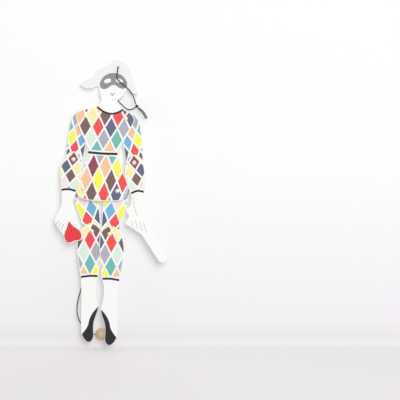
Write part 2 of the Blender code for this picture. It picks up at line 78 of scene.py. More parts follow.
# How each board stands: the rivet that it hangs from and its turn about +Y in degrees.
# The body hangs from between its hips. Right-hand limbs are mirrored left ones.
BODY_LEAN = 4.0
LIMBS = {
    "left_upper_arm": ("left_shoulder_rivet", 14.1),
    "right_upper_arm": ("right_shoulder_rivet", -11.1),
    "left_forearm": ("left_elbow_rivet", 8.9),
    "right_forearm": ("right_elbow_rivet", -6.7),
    "left_thigh": ("left_hip_rivet", -11.0),
    "right_thigh": ("right_hip_rivet", 10.2),
    "left_lower_leg": ("left_knee_rivet", 0.0),
    "right_lower_leg": ("right_knee_rivet", 1.9),
}
FACING = -0.9  # a face whose normal has a y below this looks to the front
EASED = (-0.98, -0.1)  # and one between these belongs to an eased front edge

# Lozenges of each printed cloth, in mm: width, height, and the middle of one of them on its board;
# the last number shifts which colour comes first.
MOTLEY = {
    "chest": (16.0, 29.0, -8.0, 77.9, 0.02),
    "skirt": (15.4, 34.0, -3.0, 12.1, 0.59),
    "upper_arm": (13.0, 24.0, -9.7, -29.5, 0.62),
    "forearm": (15.0, 21.0, -0.4, 0.5, 0.105),
    "thigh": (15.5, 26.0, 4.8, -26.0, 0.37),
    "lower_leg": (15.5, 30.0, -2.5, -10.5, 0.02),
}
MOTLEY_COLOURS = (
    "#f5484b", "#8e4058", "#6fbdb5", "#7a5a54", "#74b6e4", "#b3b0be",
    "#fbf2ac", "#fdf84e", "#dff0e4", "#5c637a", "#fbc79a", "#fae6e0",
)
STEP_ACROSS = 0.29  # how far along the colours a step to the next lozenge goes, each way
STEP_DOWN = 0.44
STEP_START = 20.0  # whole rounds of the colours, so that no step falls below the first one

# Places on the boards' drawings, in mm.
COLLAR = (6.2, 117.0, 21.7)  # middle and radius of the neckline
NECK_LINE = 104.0
BELT_LINES = (48.7, 42.5)  # edges of the bare strip under the belt
EDGE_LINES = {"left_forearm": -35.8, "right_forearm": -33.4, "lower_leg": -52.9, "upper_arm": 3.0}
SHOE_LINE = ((8.6, -93.5), (-13.2, -127.9))  # a shoe's top and heel point on the edge of its board
MASK_AT = (7.0, 136.3)
MOUTH_AT = (6.8, 119.6)
FACE_TILT = 5.0  # degrees
HOLE_AT = (11.5, 153.5)
HOLE_BARE = 2.9  # radius that the hat's tone leaves bare round the hanging hole
COLLAR_BAND, BELT_BAND, CUFF_BAND, HAND_LINE = 2.5, 3.0, 2.6, 0.8  # widths of printed stripes

# Shine of the boards: a thin satin varnish lies over paint and ink.
VARNISH = {"Coat Weight": 0.1, "Coat Roughness": 0.28}
INK_SHINE = {"Roughness": 0.42, "Specular IOR Level": 0.25, **VARNISH}

# Cords, in mm.
LOOP_START = 0.15  # from the middle of the hanging hole to the ends of the loop's two strands
LOOP_DEPTH = -2.25  # y of a strand that lies on the body board; behind the board it is positive
KNOT_HOLD = 2.2  # a cord ends this far from the middle of its knot
TIE_SHIFT = 0.17  # half of an arm hole's sideways step over the swing
# How a link goes from its hole to the knot: shares of the way across, of the height left over
# and of the depth gained.
LINK_RUN = ((0.12, 0.95, 0.45), (0.35, 0.75, 0.8), (0.65, 0.4, 0.97), (1.0, 0.0, 1.0))
KNOT_CORD = 0.36  # thickness of a tied knot's strands, as a share of the knot's radius
KNOT_MEAN = 0.62  # mean radius of its trefoil, and its depth, as a share of the trefoil's reach

# Area lamps: place from the camera's aim and width, in metres, and power in watts.
LAMPS = {
    "key": ((0.75, -3.75, 1.25), 1.25, 29.0),
    "fill": ((0.5, -3.9, 0.45), 1.0, 39.0),
    "back": ((0.0, 1.4, 0.7), 1.0, 3.5),
    "top": ((0.0, -0.35, 1.5), 0.8, 3.1),
}
SKY_LEVEL = 0.54  # strength of the world's light
# The backdrop sheet, in metres: its bend, its reach to the front, half its width and its height.
SHEET_BEND, SHEET_FRONT, SHEET_SIDE, SHEET_HIGH = 0.015, 1.1, 1.2, 1.2
SHEET_STEPS = 8  # of the bend
SHEET_SINK = 0.2 * MM  # the sheet lies so much below the floor's height
FOOT_SHADE_RISE = (1 * MM, 18 * MM)  # heights between which the sheet has its foot's tone, painted shade along its bend up from the floor
# The sheet is painted a little darker at the calves and fades to white at the top height: painted
# shade of light that falls off towards the floor.
CALF_SHADE_RISE, TOP_RISE = 36 * MM, 220 * MM


class PuppetPrint(bpy.types.PropertyGroup):
    """Paint and inks of the boards"""

    paint: StringProperty(
        name="Paint", description="Ground colour of the boards, sRGB hex", default="#fdfdfb"
    )
    black: StringProperty(
        name="Black ink", description="Shoes, belt and bands, sRGB hex", default="#110e0f"
    )
    hat: StringProperty(
        name="Hat ink", description="Faint tone of the hat, sRGB hex", default="#f2f0f5"
    )
    # The mask's print is black; its grey ink is painted glare of the varnish over the black.
    mask: StringProperty(name="Mask ink", description="Domino mask, sRGB hex", default="#8e8a8d")
    pouch: StringProperty(
        name="Pouch ink", description="Pouch in the hand, sRGB hex", default="#ea3238"
    )
    lips: StringProperty(name="Lip ink", description="Mouth, sRGB hex", default="#c2757a")
    pencil: StringProperty(
        name="Line ink", description="Lines of the open hand, sRGB hex", default="#a9a6a8"
    )
    faint: StringProperty(
        name="Faint ink", description="Lines of the fist, sRGB hex", default="#cfcccb"
    )
    margin: FloatProperty(
        name="Margin", description="Bare rim round a printed cloth",
        default=0.9 * MM, min=0, subtype="DISTANCE",
    )
    seam: FloatProperty(
        name="Seam", description="White line between lozenges",
        default=2.1 * MM, min=0, subtype="DISTANCE",
    )
    ease: FloatProperty(
        name="Eased edge", description="Rounding of the sawn edges",
        default=0.55 * MM, min=0, subtype="DISTANCE",
    )
    film: FloatProperty(
        name="Ink film", description="Thickness of the printed ink",
        default=0.03 * MM, min=0, subtype="DISTANCE",
    )


class PuppetFittings(bpy.types.PropertyGroup):
    """Rivets, cords and bead"""

    brass: StringProperty(name="Brass", description="Rivets, sRGB hex", default="#efdcb8")
    cord: StringProperty(
        name="Cord", description="Dark threads of the braid, sRGB hex", default="#322e30"
    )
    # The lighter braid colour is painted highlight on the crowns of the threads, and the dark one
    # painted shade in the grooves between them, over the cord's own dark grey.
    cord_painted_highlight: StringProperty(
        name="Cord, painted_highlight", description="Lit threads of the braid, sRGB hex", default="#474244"
    )
    bead: StringProperty(name="Bead", description="Turned beech, sRGB hex", default="#dcc09c")
    cord_width: FloatProperty(
        name="Cord", description="Diameter of the cord",
        default=1.4 * MM, min=0, subtype="DISTANCE",
    )
    sides: IntProperty(name="Sides", description="Steps of a turned piece", default=48, min=12)


class PuppetStage(bpy.types.PropertyGroup):
    """Floor, backdrop and camera"""

    ground: StringProperty(name="Ground", description="Floor, sRGB hex", default="#fefbfb")
    # The foot and middle tones of the sheet are painted shade, darker towards the floor.
    foot: StringProperty(
        name="Backdrop's foot", description="Where the sheet rises, sRGB hex", default="#f1eeef"
    )
    middle: StringProperty(
        name="Backdrop", description="Sheet at the calves, sRGB hex", default="#f7f4f8"
    )
    backdrop: StringProperty(
        name="Backdrop's top", description="Top of the sheet, sRGB hex", default="#ffffff"
    )
    wall: FloatProperty(
        name="Backdrop distance", description="At the floor, from the body's plane",
        default=33 * MM, subtype="DISTANCE",
    )
    lean: FloatProperty(
        name="Backdrop lean", description="How much nearer the backdrop comes for each length up",
        default=0.0705,
    )
    distance: FloatProperty(
        name="Camera distance", description="From the body's middle plane",
        default=1.6, subtype="DISTANCE",
    )
    aim: FloatVectorProperty(
        name="Aim", description="Point of the body's plane in the picture's middle",
        default=(0.102, 0.0, -0.165), subtype="TRANSLATION",
    )
    picture: FloatProperty(
        name="Picture width", description="Width that the picture shows at the body",
        default=0.498, subtype="DISTANCE",
    )


def colour(hex_value):
    """Linear RGBA of an sRGB hex value."""
    channels = [int(hex_value[i : i + 2], 16) / 255 for i in (1, 3, 5)]
    linear = (c / 12.92 if c <= 0.04045 else ((c + 0.055) / 1.055) ** 2.4 for c in channels)
    return (*linear, 1.0)


def toned(hex_value, *factors):
    """The linear RGBA with red, green and blue times their factors, at most 1."""
    return (*(min(1, c * f) for c, f in zip(colour(hex_value), factors)), 1.0)


def plug(tree, node, ins):
    """Fills a node's inputs: a socket in ins gets a link, anything else is set."""
    for name, value in ins.items():
        if isinstance(value, bpy.types.NodeSocket):
            tree.links.new(value, node.inputs[name])
        else:
            node.inputs[name].default_value = value


def add(tree, kind, ins=None, **settings):
    """Adds a node with its settings and inputs."""
    node = tree.nodes.new(kind)
    for name, value in settings.items():
        setattr(node, name, value)
    plug(tree, node, ins or {})
    return node


def new_material(name):
    """A material with its node tree and its Principled shader."""
    material = bpy.data.materials.new(name)
    material.use_nodes = True
    return material, material.node_tree, material.node_tree.nodes["Principled BSDF"]


def background_rays(tree):
    """1 for rays that show the background: from the camera, or off something glossy or clear."""
    path = add(tree, "ShaderNodeLightPath").outputs
    seen = path["Is Camera Ray"]
    for kind in ("Is Glossy Ray", "Is Transmission Ray"):
        either = add(tree, "ShaderNodeMath", {0: seen, 1: path[kind]}, operation="MAXIMUM")
        seen = either.outputs[0]
    return seen


def corners_of(node):
    """Low and high corner of a CAD node's box."""
    return [Vector(corner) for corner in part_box(node)]


def centre(node):
    """Middle of a CAD node's box."""
    low, high = corners_of(node)
    return (low + high) / 2


def front_of(node):
    """The y of a CAD node's front."""
    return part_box(node)[0][1]


def body_of(board):
    """The body that a board belongs to."""
    return "body" if board == "body_board" else board


def board_turn(board):
    """A board's turn about +Y in degrees."""
    return BODY_LEAN if board == "body_board" else LIMBS[board][1]


def board_place(board):
    """Matrix from a board's own drawing, in metres with its front at y = 0, to the world."""
    if board == "body_board":
        pivot = (centre("left_hip_rivet") + centre("right_hip_rivet")) / 2
    else:
        pivot = centre(LIMBS[board][0])
    turn = Matrix.Rotation(math.radians(board_turn(board)), 4, "Y")
    place = Matrix.Translation((pivot.x, front_of(board), pivot.z)) @ turn
    return place @ Matrix.Scale(-1, 4, (1, 0, 0)) if board.startswith("right") else place


def paint_bump(tree, shader, coord, size, height):
    """Fine unevenness of brushed paint or ink: lumps of the given size and height in metres."""
    noise = {"Vector": coord, "Scale": 1 / size, "Detail": 3.0, "Roughness": 0.6}
    lumps = add(tree, "ShaderNodeTexNoise", noise).outputs["Fac"]
    bump = add(tree, "ShaderNodeBump", {"Height": lumps, "Strength": 0.35, "Distance": height})
    plug(tree, shader, {"Normal": bump.outputs["Normal"]})
    return lumps


def painted_wood(name, hex_value):
    """White enamel on thin plywood, varnished: even, with a faint grain and dulled patches."""
    material, tree, shader = new_material(name)
    coord = add(tree, "ShaderNodeTexCoord").outputs["Object"]
    lumps = paint_bump(tree, shader, coord, 1.6 * MM, 0.02 * MM)
    # The grain of the ply runs up the board and shows through the paint as faint streaks.
    width, length = 2 * MM, 25 * MM
    stretch = {"Vector": coord, "Scale": (1 / width, 1 / width, 1 / length)}
    streaks = add(tree, "ShaderNodeMapping", stretch).outputs["Vector"]
    grain = add(tree, "ShaderNodeTexNoise", {"Vector": streaks, "Scale": 1.0, "Detail": 2.0})
    tones = {"A": toned(hex_value, 0.97, 0.968, 0.963), "B": colour(hex_value)}
    tint = add(tree, "ShaderNodeMix", {"Factor": grain.outputs["Fac"], **tones}, data_type="RGBA")
    dull = add(tree, "ShaderNodeMapRange", {"Value": lumps, "To Min": 0.38, "To Max": 0.52})
    looks = {"Base Color": tint.outputs["Result"], "Roughness": dull.outputs["Result"]}
    plug(tree, shader, {**looks, "Specular IOR Level": 0.3, **VARNISH})
    return material


def ink(name, hex_value):
    """Screen-printed ink, varnished: flat colour, a little mottled where the mesh left it thin."""
    material, tree, shader = new_material(name)
    coord = add(tree, "ShaderNodeTexCoord").outputs["Object"]
    lumps = paint_bump(tree, shader, coord, 0.9 * MM, 0.012 * MM)
    tones = {"A": toned(hex_value, 0.88, 0.88, 0.88), "B": toned(hex_value, 1.12, 1.12, 1.12)}
    tint = add(tree, "ShaderNodeMix", {"Factor": lumps, **tones}, data_type="RGBA")
    plug(tree, shader, {"Base Color": tint.outputs["Result"], **INK_SHINE})
    return material


def motley(board, cloth, neckline=None):
    """Lozenges printed on white in many colours, whose order a stepped formula gives."""
    inks = bpy.context.scene.puppet_print
    width, height, x, z, shift = MOTLEY[cloth]
    place = board_place(board)
    side = -1 if board.startswith("right") else 1
    material, tree, shader = new_material(f"motley_print_{board}_{cloth}")
    coord = add(tree, "ShaderNodeTexCoord").outputs["Object"]
    # One unit of the turned and scaled coordinates is one lozenge.
    local = add(
        tree,
        "ShaderNodeMapping",
        {
            "Vector": coord,
            "Location": place @ Vector((x * MM, 0, z * MM)),
            "Rotation": (0, math.radians(board_turn(board)), 0),
            "Scale": (side * width * MM, 1, height * MM),
        },
        vector_type="TEXTURE",
    ).outputs["Vector"]
    # Rows of lozenges rise and fall; each has a number, and a distance to its edge.
    rows, edges = [], []
    for slope in (1, -1):
        run = add(
            tree, "ShaderNodeVectorMath", {0: local, 1: (1, 0, slope)}, operation="DOT_PRODUCT"
        ).outputs["Value"]
        step = add(tree, "ShaderNodeMath", {0: run, 1: 0.5}, operation="ADD").outputs[0]
        edge = add(tree, "ShaderNodeMath", {0: step, 1: 0.5}, operation="PINGPONG")
        edges.append(edge.outputs[0])
        rows.append(add(tree, "ShaderNodeMath", {0: step}, operation="FLOOR").outputs[0])
    edge = add(tree, "ShaderNodeMath", {0: edges[0], 1: edges[1]}, operation="MINIMUM")
    across = 1 / math.hypot(1 / (width * MM), 1 / (height * MM))  # square to a lozenge's sides
    half = inks.seam / 2 / across
    fade = {"Value": edge.outputs[0], "From Min": half * 0.8, "From Max": half * 1.2}
    inside = add(tree, "ShaderNodeMapRange", fade).outputs["Result"]
    if neckline:
        at = place @ Vector((neckline[0] * MM, 0, neckline[1] * MM))
        reach = add(tree, "ShaderNodeVectorMath", {0: coord, 1: at}, operation="DISTANCE")
        limits = {0: reach.outputs["Value"], 1: neckline[2] * MM}
        outside = add(tree, "ShaderNodeMath", limits, operation="GREATER_THAN")
        both = {0: inside, 1: outside.outputs[0]}
        inside = add(tree, "ShaderNodeMath", both, operation="MULTIPLY").outputs[0]
    pick = shift + STEP_START
    for row, step in zip(rows, (STEP_ACROSS, STEP_DOWN)):
        terms = {0: row, 1: step, 2: pick}
        pick = add(tree, "ShaderNodeMath", terms, operation="MULTIPLY_ADD").outputs[0]
    pick = add(tree, "ShaderNodeMath", {0: pick}, operation="FRACT").outputs[0]
    ramp = add(tree, "ShaderNodeValToRGB", {"Fac": pick})
    stops = ramp.color_ramp
    stops.interpolation = "CONSTANT"
    stops.elements[1].position = 1 / len(MOTLEY_COLOURS)
    for i, hex_value in enumerate(MOTLEY_COLOURS):
        stop = stops.elements[i] if i < 2 else stops.elements.new(i / len(MOTLEY_COLOURS))
        stop.color = colour(hex_value)
    lumps = paint_bump(tree, shader, coord, 0.9 * MM, 0.012 * MM)
    tone = add(tree, "ShaderNodeMapRange", {"Value": lumps, "To Min": 0.93, "To Max": 1.06})
    thin = add(
        tree,
        "ShaderNodeMix",
        {"Factor": 1.0, "A": ramp.outputs["Color"], "B": tone.outputs["Result"]},
        data_type="RGBA",
        blend_type="MULTIPLY",
    )
    printed = add(
        tree,
        "ShaderNodeMix",
        {"Factor": inside, "A": colour(inks.paint), "B": thin.outputs["Result"]},
        data_type="RGBA",
    )
    plug(tree, shader, {"Base Color": printed.outputs["Result"], **INK_SHINE})
    return material


def polished_brass():
    """Polished brass: pale yellow metal, in small spots browner, in others duller."""
    hex_value = bpy.context.scene.puppet_fittings.brass
    material, tree, shader = new_material("polished_brass")
    coord = add(tree, "ShaderNodeTexCoord").outputs["Object"]
    spots = add(
        tree, "ShaderNodeTexNoise", {"Vector": coord, "Scale": 1 / (1.2 * MM), "Detail": 3.0}
    ).outputs["Fac"]
    dull = add(tree, "ShaderNodeMapRange", {"Value": spots, "To Min": 0.28, "To Max": 0.48})
    tones = {"A": toned(hex_value, 0.85, 0.8, 0.72), "B": colour(hex_value)}
    tint = add(tree, "ShaderNodeMix", {"Factor": spots, **tones}, data_type="RGBA")
    looks = {"Base Color": tint.outputs["Result"], "Roughness": dull.outputs["Result"]}
    plug(tree, shader, {**looks, "Metallic": 1.0})
    return material


def braided_cord(name, length):
    """Braided cotton: threads cross every 1.5 mm, twice as coarse as real so that they show, with
    painted highlight on their crowns and painted shade between them.
    """
    fittings = bpy.context.scene.puppet_fittings
    material, tree, shader = new_material(f"braided_cotton_{name}")
    coord = add(tree, "ShaderNodeTexCoord").outputs["UV"]
    turns = add(
        tree, "ShaderNodeMapping", {"Vector": coord, "Scale": (length / (3 * MM), 1, 1)}
    ).outputs["Vector"]
    threads = []
    for twist in (3, -3):  # threads side by side that wind each way round the cord
        run = add(
            tree, "ShaderNodeVectorMath", {0: turns, 1: (1, twist, 0)}, operation="DOT_PRODUCT"
        ).outputs["Value"]
        thread = add(tree, "ShaderNodeMath", {0: run, 1: 0.5}, operation="PINGPONG")
        threads.append(thread.outputs[0])
    upper = add(tree, "ShaderNodeMath", {0: threads[0], 1: threads[1]}, operation="MAXIMUM")
    ridge = add(tree, "ShaderNodeMath", {0: upper.outputs[0], 1: 2.0}, operation="MULTIPLY")
    # The crowns of the threads get the lighter colour and the grooves the darker: painted highlight
    # and painted shade.
    tones = {"A": colour(fittings.cord), "B": colour(fittings.cord_painted_highlight)}
    tint = add(tree, "ShaderNodeMix", {"Factor": ridge.outputs[0], **tones}, data_type="RGBA")
    relief = {"Height": ridge.outputs[0], "Strength": 0.8, "Distance": 0.15 * MM}
    bump = add(tree, "ShaderNodeBump", relief)
    looks = {"Base Color": tint.outputs["Result"], "Normal": bump.outputs["Normal"]}
    plug(tree, shader, {**looks, "Roughness": 0.85, "Sheen Weight": 0.12})
    return material


def turned_beech():
    """Turned and waxed beech: growth rings 1.6 mm apart and short dark flecks along the grain."""
    hex_value = bpy.context.scene.puppet_fittings.bead
    grain_turn = (0.5, 0.3, 0.2)
    material, tree, shader = new_material("turned_beech")
    coord = add(tree, "ShaderNodeTexCoord").outputs["Object"]
    lie = {"Location": centre("pull_bead"), "Rotation": grain_turn, "Scale": (1.0, 0.25, 1.0)}
    along = add(tree, "ShaderNodeMapping", {"Vector": coord, **lie}, vector_type="TEXTURE")
    # The wave texture repeats every 0.31 of its unit.
    wave = {"Scale": 0.31 / (1.6 * MM), "Distortion": 3.0, "Detail": 2.0}
    wave["Vector"] = along.outputs["Vector"]
    rings = add(tree, "ShaderNodeTexWave", wave, bands_direction="Z")
    # The flecks are 3.3 mm long and 0.4 mm wide.
    stretch = {"Vector": coord, "Rotation": grain_turn, "Scale": (300, 2600, 2600)}
    flecks = add(tree, "ShaderNodeMapping", stretch).outputs["Vector"]
    noise = {"Vector": flecks, "Scale": 1.0, "Detail": 2.0}
    fleck = add(tree, "ShaderNodeTexNoise", noise).outputs["Fac"]
    tones = {"A": toned(hex_value, 0.78, 0.72, 0.64), "B": colour(hex_value)}
    tint = add(tree, "ShaderNodeMix", {"Factor": rings.outputs["Fac"], **tones}, data_type="RGBA")
    share = {"Value": fleck, "From Min": 0.55, "From Max": 0.75, "To Max": 0.4}
    dark = add(tree, "ShaderNodeMapRange", share)
    tones = {"A": tint.outputs["Result"], "B": toned(hex_value, 0.45, 0.36, 0.28)}
    mixed = {"Factor": dark.outputs["Result"], **tones}
    grain = add(tree, "ShaderNodeMix", mixed, data_type="RGBA")
    relief = {"Height": fleck, "Strength": 0.2, "Distance": 0.04 * MM}
    bump = add(tree, "ShaderNodeBump", relief)
    looks = {"Base Color": grain.outputs["Result"], "Normal": bump.outputs["Normal"]}
    plug(tree, shader, {**looks, "Roughness": 0.45})
    return material


def put(name, data):
    """A new object in the scene."""
    made = bpy.data.objects.new(name, data)
    bpy.context.scene.collection.objects.link(made)
    return made


def smooth_mesh(name, bm):
    """The smooth mesh of a bmesh, which is then done with."""
    mesh = bpy.data.meshes.new(name)
    bm.to_mesh(mesh)
    bm.free()
    mesh.shade_smooth()
    return mesh


def ride_along(name, data, body):
    """An object of a finished mesh or curve that rides on a body."""
    piece = put(name, data)
    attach(piece, body)
    return piece


def add_piece(name, bm, body, materials):
    """Turns a bmesh in world metres into a piece that rides on a body."""
    mesh = smooth_mesh(name, bm)
    mesh.set_sharp_from_angle(angle=SHARP)
    for material in materials:
        mesh.materials.append(material)
    return ride_along(name, mesh, body)


def mesh_of(name, curve):
    """The mesh of a curve, which is drawn for this only."""
    drawn = put(name, curve)
    made = drawn.evaluated_get(bpy.context.evaluated_depsgraph_get())
    mesh = bpy.data.meshes.new_from_object(made)
    bpy.data.objects.remove(drawn)
    return mesh


def cut_board(board, lines):
    """A copy of a board with a bare rim, cuts across at the lines' heights, and eased edges."""
    inks = bpy.context.scene.puppet_print
    place = board_place(board)
    bm = bmesh.new()
    bm.from_mesh(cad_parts[board].data)
    bmesh.ops.remove_doubles(bm, verts=bm.verts, dist=MERGE)
    printed = bm.faces.layers.int.new("printed")
    front = [f for f in bm.faces if f.normal.y < FACING]
    how = {"use_boundary": True, "use_even_offset": True, "use_interpolate": True}
    bmesh.ops.inset_region(bm, faces=front, thickness=inks.margin, **how)
    for face in front:
        face[printed] = 1
    up = (place.to_3x3() @ Vector((0, 0, 1))).normalized()
    for line in lines:
        at = place @ Vector((0, 0, line * MM))
        everything = bm.verts[:] + bm.edges[:] + bm.faces[:]
        bmesh.ops.bisect_plane(bm, geom=everything, dist=MERGE / 10, plane_co=at, plane_no=up)
    steep = math.radians(60)
    rim = [e for e in bm.edges if len(e.link_faces) == 2 and e.calc_face_angle() > steep]
    bmesh.ops.bevel(
        bm, geom=rim, offset=inks.ease, offset_type="OFFSET", segments=3, profile=0.5,
        affect="EDGES", clamp_overlap=True, material=-1,
    )
    return bm, printed, place


def smooth_outline(spline, points):
    """A closed Bezier outline through points (x, z) in mm; a third value marks a corner."""
    spline.bezier_points.add(len(points) - 1)
    for knot, point in zip(spline.bezier_points, points):
        knot.co = (point[0] * MM, point[1] * MM, 0)
        kind = "VECTOR" if len(point) > 2 else "AUTO"
        knot.handle_left_type = knot.handle_right_type = kind
    spline.use_cyclic_u = True


def stripe(points, width):
    """The closed outline of a stripe of one width along the points."""
    sides = ([], [])
    for i, (x, z) in enumerate(points):
        before, after = points[max(i - 1, 0)], points[min(i + 1, len(points) - 1)]
        dx, dz = after[0] - before[0], after[1] - before[1]
        size = math.hypot(dx, dz) * 2 / width
        corner = ("corner",) if i in (0, len(points) - 1) else ()
        sides[0].append((x - dz / size, z + dx / size, *corner))
        sides[1].append((x + dz / size, z - dx / size, *corner))
    return sides[0] + sides[1][::-1]


def ink_film(name, board, outlines, material, layer=1):
    """A thin film of ink on a board's front: closed outlines in its drawing, holes included."""
    film = bpy.context.scene.puppet_print.film
    curve = bpy.data.curves.new(name, "CURVE")
    curve.dimensions = "2D"
    curve.fill_mode = "BOTH"
    curve.resolution_u = 10
    curve.extrude = film / 2
    for outline in outlines:
        smooth_outline(curve.splines.new("BEZIER"), outline)
    mesh = mesh_of(name, curve)
    bm = bmesh.new()
    bm.from_mesh(mesh)
    bpy.data.meshes.remove(mesh)
    bmesh.ops.remove_doubles(bm, verts=bm.verts, dist=MERGE / 10)
    # A layer lies clear of the one below it by a fifth of a film.
    lift = Matrix.Translation((0, -film * (1.2 * layer - 0.2), 0))
    upright = board_place(board) @ lift @ Matrix.Rotation(math.pi / 2, 4, "X")
    bmesh.ops.transform(bm, matrix=upright, verts=bm.verts)
    bmesh.ops.recalc_face_normals(bm, faces=bm.faces)
    return add_piece(name, bm, body_of(board), [material])


def cord_curve(name, route, body, nodes):
    """A round cord on a smooth curve through the route, in mm, and its length in metres."""
    curve = bpy.data.curves.new(name, "CURVE")
    curve.dimensions = "3D"
    curve.bevel_depth = bpy.context.scene.puppet_fittings.cord_width / 2
    curve.bevel_resolution = 4
    curve.resolution_u = 8
    curve.use_fill_caps = True
    spline = curve.splines.new("BEZIER")
    spline.bezier_points.add(len(route) - 1)
    for knot, point in zip(spline.bezier_points, route):
        knot.co = Vector(point) * MM
        knot.handle_left_type = knot.handle_right_type = "AUTO"
    length = spline.calc_length()
    curve.materials.append(braided_cord(name, length))
    piece = ride_along(name, curve, body)
    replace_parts(piece, *nodes)
    return piece, length


def tied_knot(name, body):
    """An overhand knot in a CAD ball's place: a trefoil of cord, as flat as the ball is."""
    low, high = corners_of(name)
    reach = (high.x - low.x) / 2
    thick = reach * KNOT_CORD
    depth = KNOT_MEAN * (reach - thick)
    flat = min(1.0, (high.y - low.y) / 2 / (depth + thick))
    curve = bpy.data.curves.new(f"{name}_tied", "CURVE")
    curve.dimensions = "3D"
    curve.bevel_depth = thick
    curve.bevel_resolution = 3
    spline = curve.splines.new("POLY")
    steps = 48
    spline.points.add(steps - 1)
    spline.use_cyclic_u = True
    for i, point in enumerate(spline.points):
        t = 2 * math.pi * i / steps
        ring = (reach - thick) * (KNOT_MEAN + (1 - KNOT_MEAN) * math.cos(3 * t))
        point.co = (ring * math.cos(2 * t), depth * math.sin(3 * t), ring * math.sin(2 * t), 1)
    curve.materials.append(braided_cord(name, 14 * reach))  # about as long as the knot's strand
    mesh = mesh_of(f"{name}_drawn", curve)
    mesh.name = f"{name}_tied"
    mesh.transform(Matrix.Translation((low + high) / 2) @ Matrix.Scale(flat, 4, (0, 1, 0)))
    piece = ride_along(f"{name}_tied", mesh, body)
    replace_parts(piece, name)
    return piece


def turned_piece(name, profile, place, body, material, closed=False):
    """A profile of (radius, height) in metres, spun about the place's Z axis."""
    bm = bmesh.new()
    corners = [bm.verts.new((radius, 0, height)) for radius, height in profile]
    ends = corners[1:] + corners[:1] if closed else corners[1:]
    edges = [bm.edges.new(pair) for pair in zip(corners, ends)]
    bmesh.ops.spin(
        bm, geom=corners + edges, axis=(0, 0, 1), cent=(0, 0, 0), angle=2 * math.pi,
        steps=bpy.context.scene.puppet_fittings.sides, use_merge=True,
    )
    bmesh.ops.remove_doubles(bm, verts=bm.verts, dist=MERGE)
    bmesh.ops.transform(bm, matrix=place, verts=bm.verts)
    bmesh.ops.recalc_face_normals(bm, faces=bm.faces)
    return add_piece(name, bm, body, [material])


